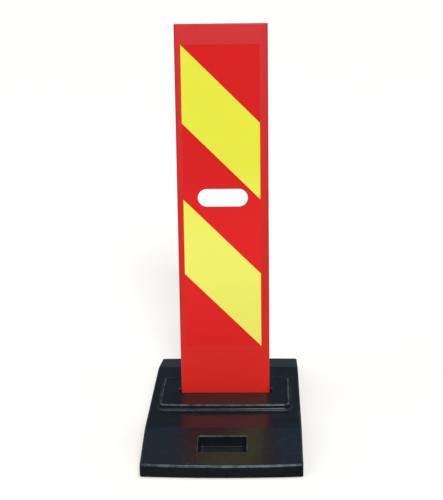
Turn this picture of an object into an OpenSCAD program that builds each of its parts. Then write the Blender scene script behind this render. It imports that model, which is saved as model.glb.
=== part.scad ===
// Delineator post: a striped marker board that stands in a heavy moulded base.
// Origin: middle of the base at road level. +Z up, the striped face looks towards -Y.

/* [Whole post] */
// Height of the post above the road
post_h = 1060; // [1000:10:1400]
// Clearance between faces that slide past or rest on each other
fit_gap = 0.2; // [0.1:0.05:0.5]

/* [Base] */
// Width of the base, left to right
base_w = 400; // [350:5:520]
// Length of the base, crown to crown
base_l = 800; // [700:5:1000]
// How far each end bows out in its middle
end_crown = 8; // [3:1:20]
// Height of the upright lip at each end
lip_h = 31; // [20:1:36]
// Height of the flat deck above the road
deck_h = 63; // [54:1:80]
// Length of the flat deck between the two ramps
deck_l = 460; // [380:5:520]

/* [Plinth] */
// Rise of the plinth above the deck
plinth_rise = 15; // [8:1:25]
// Thickness of the plinth wall beyond each end of the socket
plinth_end_wall = 45; // [25:1:50]
// Thickness of the plinth wall in front of and behind the socket, at the ends
plinth_side_wall = 89; // [50:1:120]
// How far the front and back of the plinth bow out in the middle
plinth_crown = 4; // [2:1:10]
// Radius of the plinth's upright corners
plinth_r = 14; // [10:1:40]

/* [Socket] */
// Depth of the socket mouth, front to back
socket_d = 32; // [26:1:45]
// How far the socket's rear wall leans in from mouth to floor
socket_draft = 3; // [1:0.5:4]
// Room beyond each edge of the board
socket_end_room = 7; // [2:1:12]
// Thickness of the base under the socket
socket_floor = 15; // [10:1:25]
// Diameter of each drain hole in the socket floor
drain_d = 12; // [8:1:16]
// Distance of each drain hole from the middle
drain_x = 90; // [60:1:110]
// Width of the drain groove under the base
groove_w = 20; // [18:1:30]
// Depth of the drain groove under the base
groove_d = 4; // [2:1:8]

/* [Grip pockets] */
// Width of each grip pocket in the ramps
pocket_w = 120; // [90:2:200]
// Length of each grip pocket along the ramp
pocket_l = 70; // [50:1:90]
// Distance from the ramp's upper edge to the pocket
pocket_start = 38; // [20:1:60]
// Thickness of the base under each pocket
pocket_floor = 27; // [15:1:32]
// Radius of the pocket's upright corners
pocket_r = 4; // [2:1:10]

/* [Board] */
// Width of the board
board_w = 238; // [216:1:290]
// Wall thickness of the board's front
board_wall = 4; // [3:0.5:6]
// Outside radius where the front turns into the side returns
board_r = 9; // [7:0.5:14]
// Room behind the side returns at the socket floor
board_back_room = 0.8; // [0.4:0.1:2]
// Width of the inward lip along the back of each side return
lip_w = 12; // [6:1:20]
// Thickness of the inward lip
lip_t = 3; // [2:0.5:5]
// Thickness of the two upright ribs behind the front
rib_t = 3; // [2:0.5:5]
// How far the ribs stand back from the front wall
rib_d = 14; // [6:1:18]
// Thickness of the wall that closes the board's top end
board_top_t = 4; // [3:0.5:6]
// Distance from the end of the hand slot to the nearest rib
rib_margin = 5.5; // [3:0.5:12]

/* [Hand slot] */
// Length of the hand slot, end to end
slot_l = 130; // [100:1:150]
// Height of the hand slot
slot_h = 47; // [35:1:60]
// Height of the slot's middle above the middle of the sheeting
slot_rise = 4; // [-10:1:20]

/* [Sheeting] */
// Width of the reflective sheeting
sheet_w = 200; // [160:5:210]
// Height of the reflective sheeting
sheet_h = 800; // [600:10:840]
// Bare board above the sheeting
sheet_top_margin = 50; // [20:1:80]
// How far the sheeting was laid to the left of the middle
sheet_shift = 2.5; // [0:0.5:5]
// Thickness of the sheeting
film_t = 0.5; // [0.3:0.1:1]
// How far the sheeting is trimmed back round the hand slot
film_trim = 0.8; // [0.2:0.1:3]

/* [Wedges] */
// Space between the two wedges
wedge_space = 12; // [6:1:24]
// Room between each wedge and its rib
wedge_side_room = 4; // [2:1:10]
// Room under each wedge
wedge_foot_room = 6; // [3:1:15]
// Height of the wedge's head
head_h = 16; // [10:1:24]
// How far the head reaches back over the plinth
head_reach = 16; // [8:1:30]
// Gap under the head's reach, for a pry bar
head_gap = 3; // [1:0.5:8]
// Size of the bevel on the wedge's corners
wedge_bevel = 3; // [1:0.5:4]

/* [Hidden] */

overcut = 1;
long_arc_fn = 360;
round_fn = 64;

plinth_top = deck_h + plinth_rise;
socket_w = board_w + 2 * socket_end_room;
plinth_w = socket_w + 2 * plinth_end_wall;
plinth_d = socket_d + 2 * plinth_side_wall;

board_front = fit_gap - socket_d / 2;
board_d = socket_d - socket_draft - fit_gap - board_back_room;
board_foot = socket_floor + fit_gap;
board_l = post_h - board_foot;
rib_x = slot_l / 2 + rib_margin + rib_t / 2;

sheet_bottom = post_h - sheet_top_margin - sheet_h;
stripe_step = sheet_h / 4;
slot_z = sheet_bottom + sheet_h / 2 + slot_rise;

wedge_w = rib_x - rib_t / 2 - wedge_side_room - wedge_space / 2;
wedge_x = (wedge_space + wedge_w) / 2;

base_black = "#23292f";
board_red = "#d33a3a";
film_red = "#d62626";
film_yellow = "#e8ea52";
wedge_black = "#2c2f33";

// Depth of the socket's rear wall at height z.
function rear_wall_y(z) =
    socket_d / 2 - socket_draft * (plinth_top - z) / (plinth_top - socket_floor);

// Radius of the arc that rises by crown over a chord.
function crown_radius(chord, crown) = (chord * chord / 4 + crown * crown) / (2 * crown);

// Rectangle with round corners.
module round_square(w, d, r) {
    square([w - 2 * r, d], center = true);
    square([w, d - 2 * r], center = true);
    for (x = [r - w / 2, w / 2 - r])
        for (y = [r - d / 2, d / 2 - r])
            translate([x, y])
                circle(r, $fn = round_fn);
}

// Keeps what lies between two shallow arcs, d apart in the middle and 2 x crown less at the sides.
module between_crowns(w, d, crown) {
    r = crown_radius(w, crown);
    intersection() {
        children();
        translate([0, d / 2 - r])
            circle(r, $fn = long_arc_fn);
        translate([0, r - d / 2])
            circle(r, $fn = long_arc_fn);
    }
}

// An outline drawn in depth and height, carried across the width w.
module across(w) {
    rotate([90, 0, 90])
        linear_extrude(w, center = true)
            children();
}

// Slab with a flat deck and a ramp down to the lip at each end.
module ramped_slab() {
    intersection() {
        across(base_w)
            polygon([
                [-base_l / 2, 0],
                [-base_l / 2, lip_h],
                [-deck_l / 2, deck_h],
                [deck_l / 2, deck_h],
                [base_l / 2, lip_h],
                [base_l / 2, 0],
            ]);
        linear_extrude(deck_h)
            between_crowns(base_w, base_l, end_crown)
                square([base_w, base_l], center = true);
    }
}

module plinth() {
    full_d = plinth_d + 2 * plinth_crown;
    translate([0, 0, socket_floor])
        linear_extrude(plinth_top - socket_floor)
            between_crowns(plinth_w, full_d, plinth_crown)
                round_square(plinth_w, full_d, plinth_r);
}

// Space for the board's foot, with the rear wall leaning in towards the floor.
module socket() {
    top = plinth_top + overcut;
    across(socket_w)
        polygon([
            [-socket_d / 2, socket_floor],
            [-socket_d / 2, top],
            [rear_wall_y(top), top],
            [rear_wall_y(socket_floor), socket_floor],
        ]);
}

// Flat-floored hand pocket in the ramp on the -Y side.
module grip_pocket() {
    translate([0, -deck_l / 2 - pocket_start - pocket_l / 2, pocket_floor])
        linear_extrude(deck_h)
            round_square(pocket_w, pocket_l, pocket_r);
}

// Holes from the socket floor into a groove that runs out to both sides.
module drains() {
    for (x = [-drain_x, drain_x])
        translate([x, 0, -overcut])
            cylinder(h = socket_floor + 2 * overcut, d = drain_d, $fn = round_fn);
    translate([0, 0, groove_d / 2 - overcut / 2])
        cube([base_w + 2 * overcut, groove_w, groove_d + overcut], center = true);
}

module base() {
    color(base_black)
        difference() {
            union() {
                ramped_slab();
                plinth();
            }
            socket();
            for (turn = [0, 180])
                rotate(turn)
                    grip_pocket();
            drains();
        }
}

// Front edge at y = 0, back edge at y = d, with the two front corners rounded.
module front_rounded(w, d, r) {
    translate([-w / 2, r])
        square([w, d - r]);
    translate([r - w / 2, 0])
        square([w - 2 * r, d]);
    for (x = [r - w / 2, w / 2 - r])
        translate([x, r])
            circle(r, $fn = round_fn);
}

// Lipped channel with two ribs: the board's section from its foot to the wall that closes its top.
module board_section() {
    inner_w = board_w - 2 * board_wall;
    difference() {
        front_rounded(board_w, board_d, board_r);
        translate([0, board_wall])
            front_rounded(inner_w, board_d - board_wall - lip_t, board_r - board_wall);
        translate([lip_w - inner_w / 2, board_d / 2])
            square([inner_w - 2 * lip_w, board_d]);
    }
    for (x = [-rib_x, rib_x])
        translate([x - rib_t / 2, board_wall])
            square([rib_t, rib_d]);
}

// Stadium outline of the hand slot, grown by a margin all round.
module slot_outline(margin) {
    reach = (slot_l - slot_h) / 2;
    square([2 * reach, slot_h + 2 * margin], center = true);
    for (x = [-reach, reach])
        translate([x, 0])
            circle(slot_h / 2 + margin, $fn = round_fn);
}

module board() {
    color(board_red)
        difference() {
            translate([0, board_front, board_foot]) {
                linear_extrude(board_l)
                    board_section();
                translate([0, 0, board_l - board_top_t])
                    linear_extrude(board_top_t)
                        front_rounded(board_w, board_d, board_r);
            }
            translate([0, board_front + board_wall + overcut, slot_z])
                rotate([90, 0, 0])
                    linear_extrude(board_wall + 2 * overcut)
                        slot_outline(0);
        }
}

// Lays an outline drawn from the sheeting's lower left corner on the board's face.
module on_face() {
    translate([-sheet_shift - sheet_w / 2, board_front, sheet_bottom])
        rotate([90, 0, 0])
            linear_extrude(film_t)
                children();
}

// Band that leaves the left edge at height top and falls one step to the right edge.
module stripe(top) {
    polygon([
        [0, top],
        [sheet_w, top - stripe_step],
        [sheet_w, top - 2 * stripe_step],
        [0, top - stripe_step],
    ]);
}

module top_red_film() {
    color(film_red)
        on_face()
            polygon([
                [0, sheet_h],
                [sheet_w, sheet_h],
                [sheet_w, sheet_h - stripe_step],
            ]);
}

module upper_yellow_film() {
    color(film_yellow)
        on_face()
            stripe(sheet_h);
}

module middle_red_film() {
    color(film_red)
        on_face()
            difference() {
                stripe(sheet_h - stripe_step);
                translate([sheet_shift + sheet_w / 2, slot_z - sheet_bottom])
                    slot_outline(film_trim);
            }
}

module lower_yellow_film() {
    color(film_yellow)
        on_face()
            stripe(sheet_h - 2 * stripe_step);
}

module bottom_red_film() {
    color(film_red)
        on_face()
            polygon([
                [0, stripe_step],
                [sheet_w, 0],
                [0, 0],
            ]);
}

// Wedge between the board's front wall and the leaning rear wall, with a head to pry it up by.
module wedge(side) {
    front = board_front + board_wall + fit_gap;
    foot = socket_floor + wedge_foot_room;
    head_under = plinth_top + head_gap;
    head_top = head_under + head_h;
    neck = rear_wall_y(head_under) - fit_gap;
    tail = neck + head_reach;
    color(wedge_black)
        translate([side * wedge_x, 0, 0])
            across(wedge_w)
                polygon([
                    [front, foot + wedge_bevel],
                    [front, head_top - wedge_bevel],
                    [front + wedge_bevel, head_top],
                    [tail - wedge_bevel, head_top],
                    [tail, head_top - wedge_bevel],
                    [tail, head_under],
                    [neck, head_under],
                    [rear_wall_y(foot + wedge_bevel) - fit_gap, foot + wedge_bevel],
                    [rear_wall_y(foot) - fit_gap - wedge_bevel, foot],
                    [front + wedge_bevel, foot],
                ]);
}

module left_wedge() {
    wedge(-1);
}

module right_wedge() {
    wedge(1);
}

base();
board();
top_red_film();
upper_yellow_film();
middle_red_film();
lower_yellow_film();
bottom_red_film();
left_wedge();
right_wedge();
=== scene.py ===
"""Delineator post: a striped marker board, wedged upright in the socket of a black moulded base."""

import math

import bpy
import numpy as np
from mathutils import Matrix, Vector


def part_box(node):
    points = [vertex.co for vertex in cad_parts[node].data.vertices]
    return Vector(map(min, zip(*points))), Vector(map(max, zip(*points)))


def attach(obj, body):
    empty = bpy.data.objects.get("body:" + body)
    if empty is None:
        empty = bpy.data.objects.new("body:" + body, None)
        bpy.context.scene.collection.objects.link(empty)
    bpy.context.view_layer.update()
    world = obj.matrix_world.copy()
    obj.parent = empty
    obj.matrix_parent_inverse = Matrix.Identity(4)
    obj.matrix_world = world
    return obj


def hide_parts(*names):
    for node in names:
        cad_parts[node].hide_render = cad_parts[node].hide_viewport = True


bl_info = {
    "name": "Delineator Post",
    "version": (1, 0, 0),
    "blender": (4, 5, 0),
    "location": "3D View > Sidebar > Delineator Post",
    "description": "Builds the base, board, wedges and finishes of a roadworks marker post",
    "category": "Add Mesh",
}

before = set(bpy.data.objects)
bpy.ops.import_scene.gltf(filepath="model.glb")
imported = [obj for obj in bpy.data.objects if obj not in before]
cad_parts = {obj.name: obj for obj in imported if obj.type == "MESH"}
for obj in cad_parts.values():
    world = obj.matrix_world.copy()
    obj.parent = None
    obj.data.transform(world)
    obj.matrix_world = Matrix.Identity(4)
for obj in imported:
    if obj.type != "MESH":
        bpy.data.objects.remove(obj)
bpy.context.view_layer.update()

MM = 0.001
HAIR = 1e-6  # mm; two grid lines closer than this are one line
SHARP = math.radians(35)  # faces that meet at more than this keep a crisp edge
SIDES = np.array([[-1], [1]])  # left and right, or front and back

BASE_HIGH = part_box("base")[1]
BOARD_LOW, BOARD_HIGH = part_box("board")
RED_FILMS = ("top_red_film", "middle_red_film", "bottom_red_film")
YELLOW_FILMS = ("upper_yellow_film", "lower_yellow_film")


def linear(hex_colour):
    """Linear RGBA of an sRGB hex colour: the sRGB curve is undone in each channel."""
    c = np.array([int(hex_colour[i : i + 2], 16) for i in (1, 3, 5)]) / 255
    c = np.where(c <= 0.04045, c / 12.92, ((c + 0.055) / 1.055) ** 2.4)
    return (*c.tolist(), 1.0)


# ------------------------------ sizes and colours


def length(name, description, millimetres):
    """A size that a user may change, given here in millimetres and kept in metres."""
    return bpy.props.FloatProperty(
        name=name, description=description, default=millimetres * MM,
        min=0.0, precision=4, unit="LENGTH", subtype="DISTANCE",
    )


def colour(name, description, hex_colour):
    """A colour that a user may change, given here as sRGB hex and kept linear."""
    return bpy.props.FloatVectorProperty(
        name=name, description=description, default=linear(hex_colour),
        size=4, min=0.0, max=1.0, subtype="COLOR",
    )


class DelineatorBaseSettings(bpy.types.PropertyGroup):
    deck_height: length("Deck height", "Height of the flat deck above the road", 63)
    deck_length: length("Deck length", "Length of the flat deck between the two ramps", 460)
    lip_height: length("Lip height", "Height of the upright lip at each end", 31)
    end_crown: length("End crown", "How far each end bows out in its middle", 8)
    corner: length("Corner radius", "Radius of the base's four upright corners", 6)
    edge: length("Edge radius", "Rounding along the upper edge of the base", 4)
    plinth_width: length("Plinth width", "Width of the plinth's flat top", 342)
    plinth_depth: length("Plinth depth", "Depth of the plinth's top at its two ends", 210)
    plinth_crown: length("Plinth crown", "How far the plinth's long sides bow out in the middle", 4)
    plinth_corner: length("Plinth corner radius", "Radius of the plinth's upright corners", 14)
    plinth_flare: length("Plinth flare", "How far the plinth's wall spreads from its top to its foot", 2.2)
    plinth_foot: length("Plinth foot", "Radius of the hollow where the plinth meets the deck", 8)
    plinth_edge: length("Plinth edge", "Rounding along the plinth's upper edge", 4)
    socket_width: length("Socket width", "Width of the socket, left to right", 252)
    socket_depth: length("Socket depth", "Depth of the socket's mouth, front to back", 32)
    socket_lean: length("Socket lean", "How far the socket's rear wall leans in from mouth to floor", 3)
    socket_floor: length("Socket floor", "Height of the socket's floor above the road", 15)
    pocket_width: length("Pocket width", "Width of each grip pocket", 120)
    pocket_length: length("Pocket length", "Length of each grip pocket along the ramp", 70)
    pocket_start: length("Pocket start", "Distance from the ramp's upper edge to the pocket", 38)
    pocket_floor: length("Pocket floor", "Height of each pocket's floor above the road", 27)
    drain_diameter: length("Drain diameter", "Diameter of the two drain holes", 12)
    drain_offset: length("Drain offset", "Distance of each drain hole from the middle", 90)
    groove_width: length("Groove width", "Width of the drain groove under the base", 20)
    groove_depth: length("Groove depth", "Depth of the drain groove under the base", 4)
    black: colour("Rubber black", "Body colour of the moulded rubber", "#13171a")
    # The greyer tone of the rubbed edges, which is also painted there as their highlight.
    bloom_and_highlight: colour("Rubber bloom", "Greyer tone of the handled edges", "#586873")


class DelineatorBoardSettings(bpy.types.PropertyGroup):
    wall: length("Front wall", "Thickness of the board's front wall", 4)
    corner: length("Corner radius", "Outside radius of the upright edges", 9)
    lip_width: length("Lip width", "Width of the inward lip behind each side", 12)
    lip_wall: length("Lip thickness", "Thickness of the inward lips", 3)
    rib_offset: length("Rib offset", "Distance of each rib from the middle", 72)
    rib_wall: length("Rib thickness", "Thickness of the two ribs", 3)
    rib_depth: length("Rib depth", "How far the ribs stand back from the front wall", 14)
    top_wall: length("Top wall", "Thickness of the wall that closes the board's top end", 4)
    slot_length: length("Hand slot length", "Length of the hand slot, end to end", 130)
    slot_height: length("Hand slot height", "Height of the hand slot", 47)
    slot_centre: length("Hand slot centre", "Height of the hand slot's middle above the road", 614)
    red: colour("Board red", "Colour of the extruded board", "#cb1d16")
    # Painted light: a lighter red for the board's foot, which the plinth leaves in shade.
    low_red: colour("Low red", "Colour of the board's foot, above the socket", "#e0241c")
    faded: colour("Faded red", "Colour of the board's weathered upper end", "#c62c30")


class DelineatorSheetingSettings(bpy.types.PropertyGroup):
    cell: length("Prism cell", "Width of one cell of the reflective lattice, as drawn", 7)
    red: colour("Sheeting red", "Colour of the red sheeting", "#cf1010")
    yellow: colour("Sheeting yellow", "Colour of the fluorescent yellow-green sheeting", "#dadb3a")
    # Painted light: both films are drawn lighter near the road, where the lamps' light falls off, and the
    # yellow-green is also paler there.
    low_red: colour("Low red", "Colour of the red sheeting near the road", "#dc1616")
    low_yellow: colour("Low yellow", "Colour of the yellow-green sheeting near the road", "#e6e565")


class DelineatorWedgeSettings(bpy.types.PropertyGroup):
    head_height: length("Head height", "Height of the wedge's head", 16)
    head_reach: length("Head reach", "How far the head reaches back over the plinth", 16)
    lean: length("Rear lean", "How far the rear face leans in from the head to the foot", 2.7)
    bevel: length("Bevel", "Rounding of the wedge's corners", 3)
    black: colour("Wedge black", "Colour of the moulded wedges", "#1d2023")


class DelineatorStageSettings(bpy.types.PropertyGroup):
    floor_size: length("Floor size", "Width of the floor", 90000)
    floor_white: colour("Floor white", "Colour of the floor", "#f3f2ef")


SETTINGS = {
    "delineator_base": DelineatorBaseSettings,
    "delineator_board": DelineatorBoardSettings,
    "delineator_sheeting": DelineatorSheetingSettings,
    "delineator_wedge": DelineatorWedgeSettings,
    "delineator_stage": DelineatorStageSettings,
}


def sizes(group):
    """The lengths of a settings group in millimetres, by name."""
    lengths = [p.identifier for p in group.bl_rna.properties if p.unit == "LENGTH"]
    return {name: round(getattr(group, name) / MM, 4) for name in lengths}


# ------------------------------ shape tools


def quarter(steps):
    """Sine and 1 - cosine of even angles from 0 to 90 degrees: how far a quarter round runs and drops."""
    a = np.linspace(0, np.pi / 2, steps + 1)
    return np.sin(a), 1 - np.cos(a)


def smooth_step(value, start, end):
    """0 before start, 1 after end, and 3t^2 - 2t^3 between them."""
    t = np.clip((value - start) / (end - start), 0, 1)
    return t * t * (3 - 2 * t)


def filled(step, *stops):
    """Grid lines through every stop, with each gap shared out evenly into parts no longer than step."""
    stops = np.sort(np.concatenate([np.ravel(part) for part in stops]))
    stops = stops[np.append(True, np.diff(stops) > HAIR)]
    gaps = np.diff(stops)
    counts = np.ceil(gaps / step - HAIR).astype(int)
    part = np.arange(counts.sum()) - np.repeat(np.cumsum(counts) - counts, counts)
    inner = np.repeat(stops[:-1], counts) + part * np.repeat(gaps / counts, counts)
    return np.append(inner, stops[-1])


def rings_passed(lines, low, high):
    """How many of a feature's ring lines each grid line has passed, counted from the nearer side.
    low rises and high falls, from the rim inwards."""
    from_low = np.searchsorted(low, lines + HAIR, side="right")
    from_high = np.searchsorted(-high, -lines + HAIR, side="right")
    return np.minimum(from_low, from_high)


def round_corners(x, y, centre, half, radius):
    """Turns the square of side radius in each corner of a rectangle into a quarter disc.
    A point's larger distance from the square's inner corner becomes its radius,
    and the ratio of its two distances becomes its angle."""
    dx, dy = x - centre[0], y - centre[1]
    u = np.abs(dx) - (half[0] - radius)
    v = np.abs(dy) - (half[1] - radius)
    big, small = np.maximum(u, v), np.minimum(u, v)
    inside = (small > 0) & (big <= radius + HAIR)
    angle = np.pi / 4 * small / np.where(inside, big, 1)
    angle = np.where(u >= v, angle, np.pi / 2 - angle)
    new_x = centre[0] + np.sign(dx) * (half[0] - radius + big * np.cos(angle))
    new_y = centre[1] + np.sign(dy) * (half[1] - radius + big * np.sin(angle))
    return np.where(inside, new_x, x), np.where(inside, new_y, y)


def rounded(corners, radii, steps):
    """Arcs that round the corners of a closed outline, as an array of corner x step x 2.
    Each arc's centre lies on the corner's bisector, at radius / sin(half the angle) from it,
    and its points divide the turn evenly. A corner of radius 0 gives the same point at every step."""
    p = np.asarray(corners, float)
    r = np.asarray(radii, float)[:, None]
    before, after = np.roll(p, 1, 0) - p, np.roll(p, -1, 0) - p
    before /= np.linalg.norm(before, axis=1, keepdims=True)
    after /= np.linalg.norm(after, axis=1, keepdims=True)
    half = np.arccos(np.clip((before * after).sum(1, keepdims=True), -1, 1)) / 2
    middle = before + after
    middle /= np.linalg.norm(middle, axis=1, keepdims=True)
    centre = p + middle * r / np.sin(half)
    start = p + before * r / np.tan(half) - centre
    end = p + after * r / np.tan(half) - centre
    turn = (np.pi - 2 * half)[:, :, None]
    t = np.linspace(0, 1, steps + 1)[None, :, None]
    arcs = np.sin((1 - t) * turn) * start[:, None] + np.sin(t * turn) * end[:, None]
    return centre[:, None] + arcs / np.sin(turn)


def without_repeats(outline):
    """The outline with each point that repeats the one before it taken out."""
    return outline[np.linalg.norm(outline - np.roll(outline, 1, 0), axis=1) > HAIR]


def inward(outline):
    """For each point of an anticlockwise outline, the step that moves both its sides in by 1."""
    along = np.roll(outline, -1, 0) - outline
    along /= np.linalg.norm(along, axis=1, keepdims=True)
    left = np.stack([-along[:, 1], along[:, 0]], 1)
    both = left + np.roll(left, 1, 0)
    return 2 * both / (both * both).sum(1, keepdims=True)


def closed(rows):
    """The rows with the first one again at the end."""
    return np.concatenate([rows, rows[:1]])


def cells(index):
    """The four point numbers of each cell of a grid of point numbers.
    They turn anticlockwise when rows run along x and columns along y."""
    return np.stack([index[:-1, :-1], index[1:, :-1], index[1:, 1:], index[:-1, 1:]], -1)


def rim(index, rows, columns):
    """Point numbers round a block of a grid, anticlockwise, from its first to its last row and column."""
    (a, b), (c, d) = rows, columns
    sides = [index[a:b, c], index[b, c:d], index[b:a:-1, d], index[a, d:c:-1]]
    return np.concatenate(sides)


def band(first, second):
    """Quads between two closed loops of point numbers, facing as cells() does if first is the outer."""
    return np.stack([first, np.roll(first, -1), np.roll(second, -1), second], 1)


def new_mesh(name, points, faces, attributes=None):
    """A new object at the origin, from points in millimetres and lists of point numbers."""
    mesh = bpy.data.meshes.new(name)
    mesh.from_pydata(points * MM, [], faces)
    if mesh.validate():
        raise RuntimeError(f"the mesh of {name} has faces that can't be built")
    for key, values in (attributes or {}).items():
        layer = mesh.attributes.new(key, "FLOAT", "POINT")
        layer.data.foreach_set("value", values.astype(np.float32))
    mesh.shade_smooth()
    mesh.set_sharp_from_angle(angle=SHARP)
    made = bpy.data.objects.new(name, mesh)
    bpy.context.scene.collection.objects.link(made)
    return made


def finish_piece(made, body, material, replaced):
    """Gives a piece its material and its body, and hides the CAD node it stands for."""
    made.data.materials.append(material)
    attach(made, body)
    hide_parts(replaced)


# ------------------------------ materials


def node(tree, kind, inputs=None, **settings):
    """Adds a node. settings are its own properties.
    inputs are values for its sockets, or the outputs that feed them."""
    made = tree.nodes.new("ShaderNode" + kind)
    for key, value in settings.items():
        setattr(made, key, value)
    for key, value in (inputs or {}).items():
        if isinstance(value, bpy.types.NodeSocket):
            tree.links.new(value, made.inputs[key])
        else:
            made.inputs[key].default_value = value
    return made


def noise(tree, where, width, detail, roughness=0.5):
    """Noise with features of about the given width, in the units of where."""
    inputs = {"Vector": where, "Scale": 1 / width, "Detail": detail, "Roughness": roughness}
    return node(tree, "TexNoise", inputs).outputs["Fac"]


def spread(tree, value, start, end, low=0.0, high=1.0):
    """A value that runs from start to end, made to run from low to high and held there beyond."""
    inputs = {"Value": value, "From Min": start, "From Max": end, "To Min": low, "To Max": high}
    return node(tree, "MapRange", inputs).outputs["Result"]


def joined(tree, operation, *values, clamped=False):
    """The values put together by one step of arithmetic."""
    inputs = dict(enumerate(values))
    return node(tree, "Math", inputs, operation=operation, use_clamp=clamped).outputs[0]


def blend(tree, share, first, second):
    """The first colour where the share is 0 and the second where it is 1."""
    return node(tree, "Mix", {0: share, 6: first, 7: second}, data_type="RGBA").outputs[2]


def relief(tree, height, strength, depth, over=None):
    """The surface's direction as a relief of the given depth tilts it, on top of any coarser one."""
    inputs = {"Height": height, "Strength": strength, "Distance": depth}
    if over:
        inputs["Normal"] = over
    return node(tree, "Bump", inputs).outputs["Normal"]


def shaded(tone, factor):
    """A linear colour with its brightness multiplied by a factor."""
    return (*(min(1.0, factor * c) for c in tone[:3]), 1.0)


def new_material(name):
    """An empty material, its node tree and the object's own coordinates in metres."""
    material = bpy.data.materials.new(name)
    material.use_nodes = True
    tree = material.node_tree
    tree.nodes.clear()
    return material, tree, node(tree, "TexCoord").outputs["Object"]


def surface(tree, inputs):
    """Ends a material's tree with its shader."""
    shader = node(tree, "BsdfPrincipled", inputs)
    node(tree, "OutputMaterial", {"Surface": shader.outputs["BSDF"]})


def moulded_recycled_rubber(black, bloom_and_highlight):
    """Black recycled rubber pressed in a polished mould: a dark, slightly wet-looking skin that mirrors
    softly, a shallow swell from uneven shrinkage, and a greyer tone on the edges that hands and kerbs rub,
    which is also painted there as their highlight, and as a painted highlight in the plinth's hollow foot."""
    material, tree, where = new_material("moulded recycled rubber")
    # Grit is 0.5 to 1 mm, too fine to show from here, so it is drawn at 4 mm.
    grit = noise(tree, where, 0.004, 3.0)
    # The skin swells and dips over about 60 mm where the rubber shrank unevenly.
    swell = noise(tree, where, 0.06, 2.0)
    # Handling marks are patches of 25 mm or so.
    marks = noise(tree, where, 0.025, 6.0, 0.7)
    # This attribute holds the rubbed edges, whose greyer tone is also a painted highlight, and a painted
    # highlight in the plinth's hollow foot.
    wear_and_highlight = node(tree, "Attribute", attribute_name="edge_wear_and_highlight").outputs["Fac"]
    patchy_wear_and_highlight = joined(tree, "MULTIPLY", wear_and_highlight, spread(tree, marks, 0.32, 0.68))
    haze = spread(tree, marks, 0.45, 0.85, high=0.04)
    share = joined(tree, "ADD", patchy_wear_and_highlight, haze, clamped=True)
    surface(tree, {
        "Base Color": blend(tree, share, black, bloom_and_highlight),
        "Roughness": spread(tree, marks, 0.3, 0.75, 0.18, 0.3),
        "IOR": 1.52,
        "Specular IOR Level": 0.14,
        "Normal": relief(tree, grit, 0.02, 0.0004, over=relief(tree, swell, 0.35, 0.002)),
    })
    return material


def extruded_red_plastic(red, low_red, faded, top):
    """Red plastic profile pushed through a die: a satin gloss with faint upright die lines,
    a slightly milky tone towards the weathered upper end and a lighter red painted near the foot, where shade
    falls."""
    material, tree, where = new_material("extruded red plastic")
    # Die lines are 0.3 to 1 mm apart and run the board's whole length; they are drawn at about 3 mm.
    stretched = node(tree, "Mapping", {"Vector": where, "Scale": (1 / 0.003, 1 / 0.003, 1 / 0.9)})
    lines = noise(tree, stretched.outputs["Vector"], 1.0, 2.0)
    height = node(tree, "SeparateXYZ", {"Vector": where}).outputs["Z"]
    # Weathering grows over the upper half and comes and goes over about 120 mm.
    fade = spread(tree, height, 0.55 * top, top)
    uneven = spread(tree, noise(tree, where, 0.12, 4.0), 0.0, 1.0, 0.75, 1.2)
    share = joined(tree, "MULTIPLY", fade, uneven, clamped=True)
    # Painted light: the lowest tenth is lightest, making up for the plinth's shade there, and the board's own
    # red is reached at a third of its height.
    lightened_foot_red = blend(tree, spread(tree, height, 0.32 * top, 0.1 * top), red, low_red)
    surface(tree, {
        "Base Color": blend(tree, share, lightened_foot_red, faded),
        "Roughness": spread(tree, lines, 0.3, 0.7, 0.3, 0.38),
        "IOR": 1.49,
        "Specular IOR Level": 0.3,
        "Normal": relief(tree, lines, 0.2, 0.0003),
    })
    return material


def prismatic_sheeting(name, tone, painted_light_low_tone, cell, painted_glow):
    """Prismatic retroreflective sheeting: a clear smooth face film over a sealed lattice of tiny prisms,
    so the colour is even and strong, with a faint diamond net in it."""
    material, tree, where = new_material(name)
    nets = []
    for angle in (-35.0, 35.0):
        turned = node(tree, "Mapping", {"Vector": where, "Rotation": (0.0, math.radians(angle), 0.0)})
        # A wave repeats every pi / 10 units. Real cells are 3 to 4 mm, drawn wider here so that they show.
        inputs = {"Vector": turned.outputs["Vector"], "Scale": math.pi / 10 / cell}
        wave = node(tree, "TexWave", inputs, bands_direction="X").outputs["Fac"]
        nets.append(spread(tree, wave, 0.88, 1.0))
    net = joined(tree, "MAXIMUM", *nets)
    # The film's tone drifts a little over about 150 mm.
    drift = spread(tree, noise(tree, where, 0.15, 3.0), 0.3, 0.7, high=0.06)
    lined = joined(tree, "MULTIPLY_ADD", net, 0.10, drift)
    # Painted light: the lower part, from about the hand slot down, is drawn lighter where the lamps' light
    # falls off; the yellow-green is paler there too.
    height = node(tree, "SeparateXYZ", {"Vector": where}).outputs["Z"]
    lightened_near_road = blend(tree, spread(tree, height, 0.70, 0.50), tone, painted_light_low_tone)
    inputs = {
        "Base Color": blend(tree, lined, lightened_near_road, shaded(tone, 0.62)),
        "Roughness": 0.34,
        "IOR": 1.5,
        "Specular IOR Level": 0.25,
        "Coat Weight": 0.08,
        "Coat Roughness": 0.12,
        "Normal": relief(tree, net, 0.12, 0.0001),
    }
    if painted_glow:
        # Painted glow: an emission in the film's own colour, standing for fluorescent pigment giving back a
        # little more light than falls on it.
        inputs.update({"Emission Color": tone, "Emission Strength": painted_glow})
    surface(tree, inputs)
    return material


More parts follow.
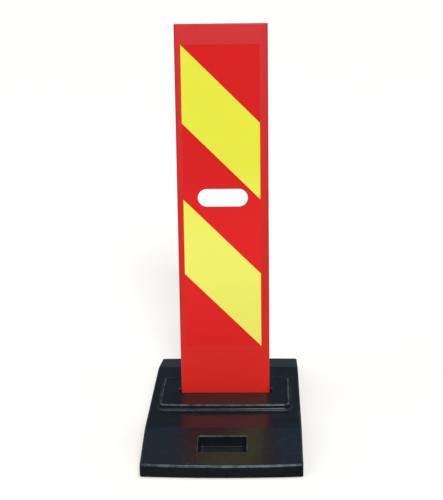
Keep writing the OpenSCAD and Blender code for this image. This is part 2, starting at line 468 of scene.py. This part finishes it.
def moulded_black_plastic(black):
    """Black plastic moulded in a spark-eroded tool: an even matt grain with no mirror in it."""
    material, tree, where = new_material("spark-grained black plastic")
    # Spark grain is 0.1 mm; it is drawn at 2 mm.
    grain = noise(tree, where, 0.002, 2.0)
    # Scuffs are about 15 mm wide.
    scuffs = spread(tree, noise(tree, where, 0.015, 5.0), 0.5, 0.8, high=0.35)
    surface(tree, {
        "Base Color": blend(tree, scuffs, black, shaded(black, 2.6)),
        "Roughness": 0.55,
        "IOR": 1.5,
        "Normal": relief(tree, grain, 0.4, 0.0003),
    })
    return material


def matt_studio_floor(white):
    """Matt painted floor: pale and even, with the least mottling of a rolled coat."""
    material, tree, where = new_material("matt rolled floor paint")
    # A roller leaves soft patches of about 200 mm.
    mottle = spread(tree, noise(tree, where, 0.2, 2.0), 0.0, 1.0, high=0.05)
    surface(tree, {
        "Base Color": blend(tree, mottle, white, shaded(white, 0.85)),
        "Roughness": 0.9,
        "Specular IOR Level": 0.1,
    })
    return material


# ------------------------------ base

# How finely the base is drawn, and the small sizes that its settings leave out, in mm.
STEP = 10.0  # widest spacing of the grid lines
PLINTH_BENDS = 8  # lines across each of the plinth's round corners
PLINTH_ARC = 6  # steps in the hollow foot and in the round upper edge of the plinth
ARC = 4  # steps in every other quarter round
RECESS_ROWS = np.linspace(0.03, 0.97, 3)  # rows of points on a recess's wall, as shares of the way down
SIDE_ROWS = np.linspace(0.02, 0.98, 4)  # the same on the base's outer sides
RIM_FLAT = 0.4  # a flat ring beside each rounded rim, so that the rim's shading stays off the flat
# A recess's roundings at its rim and foot, the taper of its sides, and the radius of its upright corners
SOCKET_RIM, SOCKET_FOOT, SOCKET_DRAFT, SOCKET_CORNER = 1.5, 0.02, 0.1, 1.5
POCKET_RIM, POCKET_FOOT, POCKET_DRAFT, POCKET_CORNER = 2.5, 2.0, 0.8, 4.0
LOWER_EDGE = 2.0  # rounding along the base's lower edge
RAMP_EASE = 3.0  # how far each way the break between deck and ramp is eased
GROOVE_LEAN = 0.5  # how far each side of the drain groove leans
DRAIN_MARGIN, DRAIN_LINES = 2.0, 7  # room round a drain in the square it is cut from, and lines across that
END_BOW = 45, 8  # inside each end of the base, where its bow sets in and where it is whole
PLINTH_BOW = 55, 90  # from the middle, where the plinth's bow sets in and where it is whole
PLINTH_BOW_END = 8, 60  # outside the plinth, where the bow starts to fade and where it is gone
# How strongly the greyer edge tone shows, from 0 to 1: wear that is also a painted highlight on edges, sides
# and rims, and a painted highlight in the plinth's hollow foot
EDGE_WEAR_AND_HIGHLIGHT, SIDE_WEAR_AND_HIGHLIGHT, RIM_WEAR_AND_HIGHLIGHT, PAINTED_FOOT_HIGHLIGHT = 0.8, 0.3, 0.45, 0.2


def recess_rings(rim_radius, foot_radius, draft):
    """Rings of a recess from its rim to its floor: how far in each lies, its share of the way from top to
    floor, and the height it adds to that. Quarter rounds lead into the wall and out of it to the floor."""
    across, drop = quarter(ARC)
    wall_at = RIM_FLAT + rim_radius
    inset = np.concatenate([
        [0, *(RIM_FLAT + rim_radius * across)],
        wall_at + draft * RECESS_ROWS,
        wall_at + draft + foot_radius * drop,
    ])
    shares = np.concatenate([np.zeros(ARC + 2), RECESS_ROWS, np.ones(ARC + 1)])
    shift = np.concatenate([
        [0, *(-rim_radius * drop)],
        RECESS_ROWS * foot_radius - (1 - RECESS_ROWS) * rim_radius,
        foot_radius * (1 - across),
    ])
    return inset, shares, shift


def edge_rings(top_radius, bottom_radius):
    """Rings of the base's outer edge from the top surface to the road: how far each lies inside the outline,
    its share of the way down, and the height it adds to that. The wall stands between two quarter rounds."""
    across, drop = quarter(ARC)
    inset = np.concatenate([
        [top_radius + RIM_FLAT],
        top_radius * (1 - across),
        0 * SIDE_ROWS,
        bottom_radius * drop,
    ])
    shares = np.concatenate([np.zeros(ARC + 2), SIDE_ROWS, np.ones(ARC + 1)])
    shift = np.concatenate([
        [0, *(-top_radius * drop)],
        SIDE_ROWS * bottom_radius - (1 - SIDE_ROWS) * top_radius,
        bottom_radius * (1 - across),
    ])
    return inset, shares, shift


class Rings:
    """A rectangular feature of a grid: where its ring lines lie on each side, and the ring at each point."""

    def __init__(self, x_low, x_high, y_low, y_high):
        self.x_low, self.x_high, self.y_low, self.y_high = x_low, x_high, y_low, y_high

    def stops(self):
        """All its lines along x, and all along y."""
        return (self.x_low, self.x_high), (self.y_low, self.y_high)

    def at(self, x_lines, y_lines):
        """0 outside the feature, 1 on its outermost ring and so on inwards: the smaller of two counts."""
        across = rings_passed(x_lines, self.x_low, self.x_high)
        along = rings_passed(y_lines, self.y_low, self.y_high)
        return np.minimum(across[:, None], along[None, :])

    def round(self, x, y, radius):
        """The points with this feature's corners rounded in plan."""
        centre = (self.x_low[0] + self.x_high[0]) / 2, (self.y_low[0] + self.y_high[0]) / 2
        half = (self.x_high[0] - self.x_low[0]) / 2, (self.y_high[0] - self.y_low[0]) / 2
        return round_corners(x, y, centre, half, radius)


def drain_tube(points, around, x, radius, heights):
    """Joins two square rims of grid points, one over the other, by a round tube at x.
    Each rim point goes to the circle at an angle in proportion to its place along its side of the square.
    Returns the points with the tube's two circles added, and the faces."""
    offset = points[around[0], :2] - (x, 0)
    far = np.abs(offset).max(1)
    angle = np.pi / 4 * np.abs(offset).min(1) / far
    angle = np.where(np.abs(offset[:, 0]) >= far, angle, np.pi / 2 - angle)
    circle = np.sign(offset) * radius * np.stack([np.cos(angle), np.sin(angle)], 1) + (x, 0)
    loops = [len(points) + np.arange(len(circle)) + k * len(circle) for k in (0, 1)]
    rings = [np.column_stack([circle, np.full(len(circle), height)]) for height in heights]
    faces = [band(around[0], loops[0]), band(*loops), band(loops[1], around[1])]
    return np.concatenate([points, *rings]), faces


def base_surface(s):
    """Closed skin of the base on one grid of lines along x and y.
    The top is a height over each grid point: deck, ramps that fall evenly from the deck's ends, the plinth's
    rise, and the floors of the socket and pockets. Each feature owns a set of ring lines, and a point's ring
    is the smaller of its counts in x and y, so a wall is the same profile carried round all four sides. The
    outermost rings turn down the sides and under, and the underside is the same grid, flat but for the drain
    groove. Two tubes join socket floor and groove.
    Returns points in millimetres, quads and how strongly each point shows edge wear and painted highlight."""
    half_w = BASE_HIGH.x / MM
    half_l = BASE_HIGH.y / MM - s["end_crown"]
    top = BASE_HIGH.z / MM
    deck, lip = s["deck_height"], s["lip_height"]
    deck_end = s["deck_length"] / 2
    slope = (deck - lip) / (BASE_HIGH.y / MM - deck_end)

    # The plinth's wall, outside to inside: a hollow foot, a flared wall and a round upper edge.
    foot_r, edge_r = s["plinth_foot"], s["plinth_edge"]
    edge_at = foot_r + s["plinth_flare"]
    wall = rounded(
        [(0, 0), (foot_r, 0), (edge_at, top - deck), (edge_at + edge_r, top - deck), (edge_at, top)],
        [0, foot_r, edge_r, 0, 0],
        PLINTH_ARC,
    )[:4].reshape(-1, 2)
    wall = wall[np.append(True, np.diff(wall[:, 0]) > HAIR)]
    plinth_inset, plinth_rise = wall.T
    px, py = s["plinth_width"] / 2 + edge_at, s["plinth_depth"] / 2 + edge_at
    plinth = Rings(plinth_inset - px, px - plinth_inset, plinth_inset - py, py - plinth_inset)

    # The socket: the rear wall leans in with depth, so its lines follow each ring's own height.
    s_inset, s_share, s_shift = recess_rings(SOCKET_RIM, SOCKET_FOOT, SOCKET_DRAFT)
    s_height = (1 - s_share) * top + s_share * s["socket_floor"] + s_shift
    lean = s["socket_lean"] * (top - s_height) / (top - s["socket_floor"])
    lean -= s["socket_lean"] * SOCKET_RIM / (top - s["socket_floor"]) * (s_share == 0)
    margin = RIM_FLAT + SOCKET_RIM
    mouth_x, mouth_y = s["socket_width"] / 2 + margin, s["socket_depth"] / 2 + margin
    rear = mouth_y - s_inset - np.maximum(lean, 0)
    socket = Rings(s_inset - mouth_x, mouth_x - s_inset, s_inset - mouth_y, rear)

    # The grip pockets.
    p_inset, p_share, p_shift = recess_rings(POCKET_RIM, POCKET_FOOT, POCKET_DRAFT)
    margin = RIM_FLAT + POCKET_RIM
    gx = s["pocket_width"] / 2 + margin
    near = deck_end + s["pocket_start"] - margin
    far = deck_end + s["pocket_start"] + s["pocket_length"] + margin
    pockets = [
        Rings(p_inset - gx, gx - p_inset, p_inset - far, -near - p_inset),
        Rings(p_inset - gx, gx - p_inset, near + p_inset, far - p_inset),
    ]

    # The outer edge: its lines carry on past the fill at 1 mm a ring,
    # and are then drawn in to each ring's own outline.
    e_inset, e_share, e_shift = edge_rings(s["edge"], LOWER_EDGE)
    fill_x, fill_y = half_w - s["corner"], half_l - s["corner"]
    past = np.arange(1, len(e_inset) + 1)
    drawn_in = np.append(1.0, (s["corner"] - e_inset) / past)

    groove = s["groove_width"] / 2
    drain_r, drain_x = s["drain_diameter"] / 2, s["drain_offset"]
    block = drain_r + DRAIN_MARGIN
    block_lines = np.linspace(-block, block, DRAIN_LINES)
    soft = np.linspace(-RAMP_EASE, RAMP_EASE, 5)
    features = [plinth, socket, *pockets]
    bends = np.linspace(s["plinth_corner"] + edge_at, plinth_inset[-1], PLINTH_BENDS)
    x_stops, y_stops = zip(*(feature.stops() for feature in features))
    x_lines = filled(STEP, *x_stops, SIDES * drain_x + block_lines, SIDES * (px - bends), SIDES * fill_x)
    y_lines = filled(
        STEP, *y_stops, block_lines, SIDES * (py - bends), SIDES * (deck_end + soft),
        SIDES * groove, SIDES * (groove - GROOVE_LEAN), SIDES * fill_y,
    )
    x_lines = np.concatenate([-fill_x - past[::-1], x_lines, fill_x + past])
    y_lines = np.concatenate([-fill_y - past[::-1], y_lines, fill_y + past])
    x, y = np.meshgrid(x_lines, y_lines, indexing="ij")

    over_x = np.maximum(np.abs(x) - fill_x, 0)
    over_y = np.maximum(np.abs(y) - fill_y, 0)
    ring = np.rint(np.maximum(over_x, over_y)).astype(int)

    def outline(at_ring):
        """The grid drawn in to a ring's outline, with round corners and bowed ends."""
        pull = drawn_in[at_ring]
        new_x = np.sign(x) * (np.abs(x) - over_x + over_x * pull)
        new_y = np.sign(y) * (np.abs(y) - over_y + over_y * pull)
        new_x, new_y = round_corners(new_x, new_y, (0, 0), (half_w, half_l), s["corner"])
        bow = s["end_crown"] * (1 - (new_x / half_w) ** 2)
        bow *= smooth_step(np.abs(new_y), *(half_l - inside for inside in END_BOW))
        return new_x, new_y + np.sign(y) * bow

    top_x, top_y = outline(ring)
    socket_r, pocket_r = SOCKET_CORNER + RIM_FLAT + SOCKET_RIM, POCKET_CORNER + RIM_FLAT + POCKET_RIM
    for feature, radius in zip(features, (s["plinth_corner"] + edge_at, socket_r, pocket_r, pocket_r)):
        top_x, top_y = feature.round(top_x, top_y, radius)
    bow = s["plinth_crown"] * (1 - (top_x / px) ** 2) * smooth_step(np.abs(top_y), *PLINTH_BOW)
    bow *= 1 - smooth_step(np.abs(top_y), *(py + outside for outside in PLINTH_BOW_END))
    top_y = top_y + np.sign(y) * bow

    # The ramp falls evenly past the deck's end, and a parabola eases the break.
    beyond = np.abs(top_y) - deck_end
    eased = np.maximum(beyond + RAMP_EASE, 0) ** 2 / (4 * RAMP_EASE)
    fall = np.where(beyond < RAMP_EASE, eased, beyond)
    z = deck - slope * fall
    z += np.append(0, plinth_rise)[plinth.at(x_lines, y_lines)]
    hollows = [(socket, s_share, s_shift, s["socket_floor"])]
    hollows += [(pocket, p_share, p_shift, s["pocket_floor"]) for pocket in pockets]
    for feature, share, shift, floor in hollows:
        at = feature.at(x_lines, y_lines)
        down = np.append(0, share)[at]
        z = (1 - down) * z + down * floor + np.append(0, shift)[at]
    under = s["groove_depth"] * np.clip((groove - np.abs(y)) / GROOVE_LEAN, 0, 1)
    down = np.append(0, e_share)[ring]
    z = (1 - down) * z + down * under + np.append(0, e_shift)[ring]

    # Edges that stand proud are rubbed, and their greyer tone is also a painted highlight: the plinth's upper
    # edge, the recesses' rims and the outer edge. The plinth's hollow foot gets the same tone as a painted
    # highlight.
    # The rims' and the outer edge's quarter rounds start on ring 2, and the middle of the hollow foot on ring
    # 3.
    on_plinth = plinth.at(x_lines, y_lines)
    rings = len(plinth_rise)
    rubbed_and_highlit = EDGE_WEAR_AND_HIGHLIGHT * ((on_plinth >= rings - PLINTH_ARC) & (on_plinth < rings))
    # Painted highlight along the plinth's hollow foot.
    rubbed_and_highlit += PAINTED_FOOT_HIGHLIGHT * ((on_plinth >= 3) & (on_plinth <= PLINTH_ARC))
    for feature, *_ in hollows:
        at = feature.at(x_lines, y_lines)
        rubbed_and_highlit += RIM_WEAR_AND_HIGHLIGHT * ((at >= 2) & (at <= 2 + ARC))
    rubbed_and_highlit += ((ring >= 2) & (ring <= 2 + ARC)) * np.where(over_y >= over_x, EDGE_WEAR_AND_HIGHLIGHT, SIDE_WEAR_AND_HIGHLIGHT)

    last = len(past)
    low_x, low_y = outline(np.full_like(ring, last))
    count = x.size
    upper = np.arange(count).reshape(x.shape)
    lower = upper.copy()
    lower[1:-1, 1:-1] = count + np.arange((x.shape[0] - 2) * (x.shape[1] - 2)).reshape(x.shape[0] - 2, -1)
    inner = (slice(1, -1), slice(1, -1))
    points = np.concatenate([
        np.stack([top_x, top_y, z], -1).reshape(-1, 3),
        np.stack([low_x[inner], low_y[inner], under[inner]], -1).reshape(-1, 3),
    ])

    # Each drain: a square block of cells gives way to a round hole, joined from socket floor to groove.
    keep = np.ones((x.shape[0] - 1, x.shape[1] - 1), bool)
    tubes = []
    columns = np.searchsorted(y_lines, (-block - HAIR, block - HAIR))
    for side in (-1, 1):
        rows = np.searchsorted(x_lines, side * drain_x + np.array([-block, block]) - HAIR)
        keep[rows[0] : rows[1], columns[0] : columns[1]] = False
        around = [rim(grid, rows, columns) for grid in (upper, lower)]
        heights = s["socket_floor"], s["groove_depth"]
        points, faces = drain_tube(points, around, side * drain_x, drain_r, heights)
        tubes += faces
    wear_and_highlight = np.zeros(len(points))
    wear_and_highlight[:count] = rubbed_and_highlit.ravel()
    quads = np.concatenate([cells(upper)[keep], cells(lower)[keep][:, ::-1], *tubes])
    return points, quads, wear_and_highlight


class MESH_OT_delineator_base(bpy.types.Operator):
    """Build the moulded base with its plinth, socket, grip pockets and drains"""

    bl_idname = "mesh.delineator_base"
    bl_label = "Base"
    bl_options = {"REGISTER", "UNDO"}

    def execute(self, context):
        settings = context.scene.delineator_base
        points, quads, wear_and_highlight = base_surface(sizes(settings))
        made = new_mesh("moulded_base", points, quads.tolist(), {"edge_wear_and_highlight": wear_and_highlight})
        rubber = moulded_recycled_rubber(settings.black, settings.bloom_and_highlight)
        finish_piece(made, "base", rubber, "base")
        return {"FINISHED"}


# ------------------------------ board

# How finely the board is drawn, and the small sizes that its settings leave out, in mm.
BOARD_STEP, BOARD_RISE = 10, 25  # widest spacing of the lines across it and up it
SECTION_ARC = 6  # steps in each corner of the section
LIP_EDGE, INNER_EDGE = 1.2, 1.0  # roundings of the lips' and ribs' corners, and of the corners inside
SLOT_ARC = 3  # steps in the quarter rounds of the slot's edge and of the board's ends
SLOT_EDGE, END_EDGE = 0.7, 0.6  # roundings along the slot's edge and along the board's ends
SLOT_FLAT = 1.0  # a flat ring outside the slot's rounded edge
SLOT_BENDS = 8  # lines across each round end of the slot, and across each half of its height
RIB_CLEAR = 1.5  # how far short of the ribs the lines between them stop


def board_surface(s):
    """Closed skin of the board: its section carried straight up, z line by z line.
    The section is a lipped channel with two ribs, every corner an arc. From the top wall's underside up only
    its outer side goes on, closed by a strip from lip to lip, and a ceiling covers the hollow. The first and
    last lines draw the section in by a quarter round, so the ends have a fine broken edge. Round the hand
    slot, ring lines on the front and inner faces sink by a quarter round, their corners are turned into
    quarter discs, and a collar joins the two. Returns points in millimetres and faces."""
    half_w = BOARD_HIGH.x / MM
    front, back = BOARD_LOW.y / MM, BOARD_HIGH.y / MM
    foot, head = BOARD_LOW.z / MM, BOARD_HIGH.z / MM
    wall, corner = s["wall"], s["corner"]
    inner_w, inner = half_w - wall, front + wall
    lip_y, lip_x = back - s["lip_wall"], inner_w - s["lip_width"]
    rib_out, rib_in = s["rib_offset"] + s["rib_wall"] / 2, s["rib_offset"] - s["rib_wall"] / 2
    rib_y = inner + s["rib_depth"]

    right = np.array([
        (half_w, front, corner), (half_w, back, LIP_EDGE),
        (lip_x, back, LIP_EDGE), (lip_x, lip_y, LIP_EDGE),
        (inner_w, lip_y, INNER_EDGE), (inner_w, inner, corner - wall),
        (rib_out, inner, INNER_EDGE), (rib_out, rib_y, LIP_EDGE),
        (rib_in, rib_y, LIP_EDGE), (rib_in, inner, INNER_EDGE),
    ])
    corners = np.concatenate([right, right[::-1] * (-1, 1, 1)])
    arcs = rounded(corners[:, :2], corners[:, 2], SECTION_ARC)

    # Ring lines round the hand slot: a flat one, then a quarter round.
    across, drop = quarter(SLOT_ARC)
    outset = np.append(SLOT_FLAT, SLOT_EDGE * (1 - across))
    depth = np.append(0.0, SLOT_EDGE * drop)
    half_l, half_h = s["slot_length"] / 2, s["slot_height"] / 2
    middle = s["slot_centre"]
    bend_x = np.linspace(half_l - half_h, half_l, SLOT_BENDS + 1)
    bend_z = np.linspace(-half_h, half_h, 2 * SLOT_BENDS + 1)
    front_x = filled(BOARD_STEP, SIDES * (half_l + outset), SIDES * bend_x, SIDES * (half_w - corner))[1:-1]
    inner_x = front_x[np.abs(front_x) < rib_in - RIB_CLEAR]
    face = np.column_stack([front_x, np.full(len(front_x), front)])
    web = np.column_stack([inner_x[::-1], np.full(len(inner_x), inner)])
    # right-hand arcs, the face between the ribs, left-hand arcs, then the front face
    parts = [arcs[: len(right)].reshape(-1, 2), web, arcs[len(right) :].reshape(-1, 2), face]
    outline = np.concatenate(parts)
    web_at = len(parts[0])
    face_at = web_at + len(web) + len(parts[2])
    # The lips' back corners start and end the outline's outer side; the hollow lies between them.
    hollow_from = 2 * arcs.shape[1]
    hollow_to = face_at - 1 - hollow_from

    end_rise, end_inset = END_EDGE * drop, END_EDGE * (1 - across)
    ends_z = np.concatenate([foot + end_rise, (head - end_rise)[::-1]])
    reach = half_h + outset
    z_lines = filled(BOARD_RISE, ends_z, head - s["top_wall"], middle + SIDES * reach, middle + bend_z)
    inset = np.interp(z_lines, ends_z, np.concatenate([end_inset, end_inset[::-1]]))
    step_in = inward(outline)
    x = outline[:, :1] + step_in[:, :1] * inset
    y = outline[:, 1:] + step_in[:, 1:] * inset
    z = np.broadcast_to(z_lines, x.shape).copy()

    slot = Rings(-(half_l + outset), half_l + outset, middle - reach, middle + reach)
    ring = np.zeros(x.shape, int)
    around = []
    for at, lines, sign in ((face_at, front_x, 1), (web_at, inner_x[::-1], -1)):
        part = slice(at, at + len(lines))
        ring[part] = slot.at(lines, z_lines)
        x[part], z[part] = slot.round(x[part], z[part], reach[0])
        y[part] += sign * np.append(0, depth)[ring[part]]
        around.append((part, sign))

    # What goes: the cells inside the slot, and the hollow's from the ceiling up.
    index = np.arange(x.size).reshape(x.shape)
    last = len(outset)
    ceiling = np.searchsorted(z_lines, head - s["top_wall"] - HAIR)
    keep = cells(closed(ring)).min(-1) < last
    keep[hollow_from:hollow_to, ceiling:] = False
    over = index[[hollow_from, hollow_to], ceiling:]
    strip = cells(over)[0]
    outer = np.concatenate([index[: hollow_from + 1, -1], index[hollow_to:, -1]])
    hollow = index[hollow_from : hollow_to + 1, ceiling]
    columns = np.flatnonzero((ring == last).any(0))[[0, -1]]
    loops = []
    for part, sign in around:
        rows = np.flatnonzero((ring[part][::sign] == last).any(1))[[0, -1]]
        loops.append(rim(index[part][::sign], rows, columns))
    points = np.stack([x, y, z], -1).reshape(-1, 3)
    quads = np.concatenate([cells(closed(index))[keep], band(*loops), strip])
    faces = quads.tolist() + [outer.tolist(), hollow.tolist(), index[::-1, 0].tolist()]
    used = np.unique(quads)
    renumber = np.full(len(points), -1)
    renumber[used] = np.arange(len(used))
    return points[used], [renumber[f].tolist() for f in faces]


class MESH_OT_delineator_board(bpy.types.Operator):
    """Build the extruded board with its ribs, lips, closed top and hand slot"""

    bl_idname = "mesh.delineator_board"
    bl_label = "Board"
    bl_options = {"REGISTER", "UNDO"}

    def execute(self, context):
        settings = context.scene.delineator_board
        points, faces = board_surface(sizes(settings))
        made = new_mesh("extruded_board", points, faces)
        plastic = extruded_red_plastic(settings.red, settings.low_red, settings.faded, BOARD_HIGH.z)
        finish_piece(made, "board", plastic, "board")
        return {"FINISHED"}


# ------------------------------ sheeting


class MESH_OT_delineator_sheeting(bpy.types.Operator):
    """Give the five cut sheets their red and fluorescent reflective finish"""

    bl_idname = "mesh.delineator_sheeting"
    bl_label = "Sheeting"
    bl_options = {"REGISTER", "UNDO"}

    def execute(self, context):
        settings = context.scene.delineator_sheeting
        cell = settings.cell
        red = prismatic_sheeting("red prismatic sheeting", settings.red, settings.low_red, cell, 0)
        name = "fluorescent yellow-green prismatic sheeting"
        # The yellow-green gets a painted glow of 0.05; the red gets none.
        yellow = prismatic_sheeting(name, settings.yellow, settings.low_yellow, cell, 0.05)
        for names, material in ((RED_FILMS, red), (YELLOW_FILMS, yellow)):
            for name in names:
                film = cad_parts[name]
                film.data.materials.clear()
                film.data.materials.append(material)
        return {"FINISHED"}


# ------------------------------ wedges

WEDGE_ARC, WEDGE_ROWS = 6, 5  # steps in each corner of the outline, and rows between its drawn-in ends
WEDGE_END = 1.5  # rounding along both ends, mm
WEDGE_NECK = 1.0  # rounding under the head, mm
WEDGE_ROOM = 0.1  # how much further in than the lean the rear face's foot stands, mm


def wedge_surface(s, low, high):
    """Closed skin of one wedge: its side outline, every corner an arc, carried across its width.
    Near both ends the outline is drawn in by a quarter round. Returns points in millimetres and faces."""
    (left, front, foot), (right, tail, head) = (np.array(corner) / MM for corner in (low, high))
    under = head - s["head_height"]
    neck = tail - s["head_reach"]
    bevel = s["bevel"]
    corners = np.array([
        (front, foot, bevel), (neck - s["lean"] - WEDGE_ROOM, foot, bevel), (neck, under, WEDGE_NECK),
        (tail, under, WEDGE_NECK), (tail, head, bevel), (front, head, bevel),
    ])
    outline = without_repeats(rounded(corners[:, :2], corners[:, 2], WEDGE_ARC).reshape(-1, 2))
    across, drop = quarter(WEDGE_ARC - 1)
    run, inset = WEDGE_END * drop, WEDGE_END * (1 - across)
    rows = np.linspace(left, right, WEDGE_ROWS + 2)[1:-1]
    x_lines = np.concatenate([left + run, rows, (right - run)[::-1]])
    inset = np.concatenate([inset, 0 * rows, inset[::-1]])
    step_in = inward(outline)
    y = outline[:, :1] + step_in[:, :1] * inset
    z = outline[:, 1:] + step_in[:, 1:] * inset
    points = np.stack([np.broadcast_to(x_lines, y.shape), y, z], -1).reshape(-1, 3)
    index = np.arange(y.size).reshape(y.shape)
    faces = cells(closed(index)).reshape(-1, 4).tolist()
    return points, faces + [index[:, -1].tolist(), index[::-1, 0].tolist()]


class MESH_OT_delineator_wedges(bpy.types.Operator):
    """Build the two wedges that hold the board upright in its socket"""

    bl_idname = "mesh.delineator_wedges"
    bl_label = "Wedges"
    bl_options = {"REGISTER", "UNDO"}

    def execute(self, context):
        settings = context.scene.delineator_wedge
        plastic = moulded_black_plastic(settings.black)
        for side in ("left_wedge", "right_wedge"):
            made = new_mesh("moulded_" + side, *wedge_surface(sizes(settings), *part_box(side)))
            finish_piece(made, side, plastic, side)
        return {"FINISHED"}


# ------------------------------ stage

CAMERA_AT = (0.11758, -3.45347, 1.36896)
CAMERA_YAW, CAMERA_PITCH, CAMERA_ROLL = (math.radians(a) for a in (-2.0474, 14.5774, -0.8126))
CAMERA_LENS = 97.63
LAMP_SCALE = 4  # metres that a lamp hangs off for each unit of its direction, which sunlight takes no note of
LAMPS = (
    # name, direction it shines from, apparent width in degrees, strength
    ("key light", (0.10, -0.88, 0.52), 14.0, 1.95),
    ("fill light", (-0.90, -0.45, 0.60), 40.0, 0.40),
    ("top light", (0.10, 0.20, 1.30), 20.0, 1.25),
)

BACKDROP = "#ffffff"  # what the camera sees past the floor's edge
SURROUND_BELOW = "#596368"  # tone of the surround below the horizon
SURROUND = (
    # where the next tone starts and where it is reached, as the upward part of the direction, and that tone
    (-0.03, 0.06, "#3f464e"),
    (0.35, 0.66, "#6f98c8"),
    (0.70, 1.0, "#f4f7fa"),
)


def aimed(source):
    """A place in that direction and a turn that looks from it to the origin."""
    look = (-Vector(source)).to_track_quat("-Z", "Y")
    return Matrix.Translation(LAMP_SCALE * Vector(source)) @ look.to_matrix().to_4x4()


def studio_world(scene):
    """Soft surroundings: brightest overhead and dim near the horizon, so that dark glossy faces stay dark.
    Gloss mirrors it in its cool tones, and matt surfaces take their light from it in grey of the same
    brightness. The camera sees plain white there, like the floor."""
    world = bpy.data.worlds.new("studio surround")
    world.use_nodes = True
    tree = world.node_tree
    tree.nodes.clear()
    upward = node(tree, "SeparateXYZ", {"Vector": node(tree, "TexCoord").outputs["Generated"]}).outputs["Z"]
    tone = linear(SURROUND_BELOW)
    for start, end, after in SURROUND:
        tone = blend(tree, spread(tree, upward, start, end), tone, linear(after))
    grey = node(tree, "RGBToBW", {"Color": tone}).outputs["Val"]
    even, mirrored, pale = (
        node(tree, "Background", {"Color": shown, "Strength": 1.0}).outputs[0]
        for shown in (grey, tone, linear(BACKDROP))
    )
    ray = node(tree, "LightPath").outputs
    around = node(tree, "MixShader", {0: ray["Is Glossy Ray"], 1: even, 2: mirrored}).outputs[0]
    whole = node(tree, "MixShader", {0: ray["Is Camera Ray"], 1: around, 2: pale}).outputs[0]
    node(tree, "OutputWorld", {"Surface": whole})
    scene.world = world


class SCENE_OT_delineator_stage(bpy.types.Operator):
    """Set up the pale floor, the studio light and the camera"""

    bl_idname = "scene.delineator_stage"
    bl_label = "Stage"
    bl_options = {"REGISTER", "UNDO"}

    def execute(self, context):
        scene = context.scene
        settings = scene.delineator_stage
        half = settings.floor_size / MM / 2
        lines = np.linspace(-half, half, 3)
        x, y = np.meshgrid(lines, lines, indexing="ij")
        points = np.stack([x, y, 0 * x], -1).reshape(-1, 3)
        index = np.arange(x.size).reshape(x.shape)
        floor = new_mesh("floor", points, cells(index).reshape(-1, 4).tolist())
        floor.data.materials.append(matt_studio_floor(settings.floor_white))
        floor.visible_glossy = False  # the glossy base mirrors the dim surround, not the white floor
        for name, source, width, strength in LAMPS:
            lamp = bpy.data.lights.new(name, "SUN")
            lamp.angle, lamp.energy = math.radians(width), strength
            hung = bpy.data.objects.new(name, lamp)
            hung.matrix_world = aimed(source)
            scene.collection.objects.link(hung)
        studio_world(scene)
        camera = bpy.data.objects.new("camera", bpy.data.cameras.new("camera"))
        camera.data.lens = CAMERA_LENS
        turn = Matrix.Rotation(-CAMERA_YAW, 4, "Z") @ Matrix.Rotation(math.pi / 2 - CAMERA_PITCH, 4, "X")
        camera.matrix_world = Matrix.Translation(CAMERA_AT) @ turn @ Matrix.Rotation(CAMERA_ROLL, 4, "Z")
        scene.collection.objects.link(camera)
        scene.camera = camera
        scene.view_settings.view_transform = "Standard"
        return {"FINISHED"}


# ------------------------------ add-on

OPERATORS = (
    MESH_OT_delineator_base,
    MESH_OT_delineator_board,
    MESH_OT_delineator_sheeting,
    MESH_OT_delineator_wedges,
    SCENE_OT_delineator_stage,
)


class VIEW3D_PT_delineator_post(bpy.types.Panel):
    """Sizes, colours and build steps of the delineator post"""

    bl_idname = "VIEW3D_PT_delineator_post"
    bl_label = "Delineator Post"
    bl_space_type = "VIEW_3D"
    bl_region_type = "UI"
    bl_category = "Delineator Post"

    def draw(self, context):
        layout = self.layout
        layout.use_property_split = True
        for step, (name, group) in zip(OPERATORS, SETTINGS.items()):
            column = layout.box().column()
            settings = getattr(context.scene, name)
            for key in group.__annotations__:
                column.prop(settings, key)
            column.operator(step.bl_idname)


def register():
    for cls in (*SETTINGS.values(), *OPERATORS, VIEW3D_PT_delineator_post):
        bpy.utils.register_class(cls)
    for name, group in SETTINGS.items():
        setattr(bpy.types.Scene, name, bpy.props.PointerProperty(type=group))


def unregister():
    for name in SETTINGS:
        delattr(bpy.types.Scene, name)
    for cls in reversed((*SETTINGS.values(), *OPERATORS, VIEW3D_PT_delineator_post)):
        bpy.utils.unregister_class(cls)


def main():
    register()
    bpy.ops.mesh.delineator_base()
    bpy.ops.mesh.delineator_board()
    bpy.ops.mesh.delineator_sheeting()
    bpy.ops.mesh.delineator_wedges()
    bpy.ops.scene.delineator_stage()


if __name__ == "__main__":
    main()
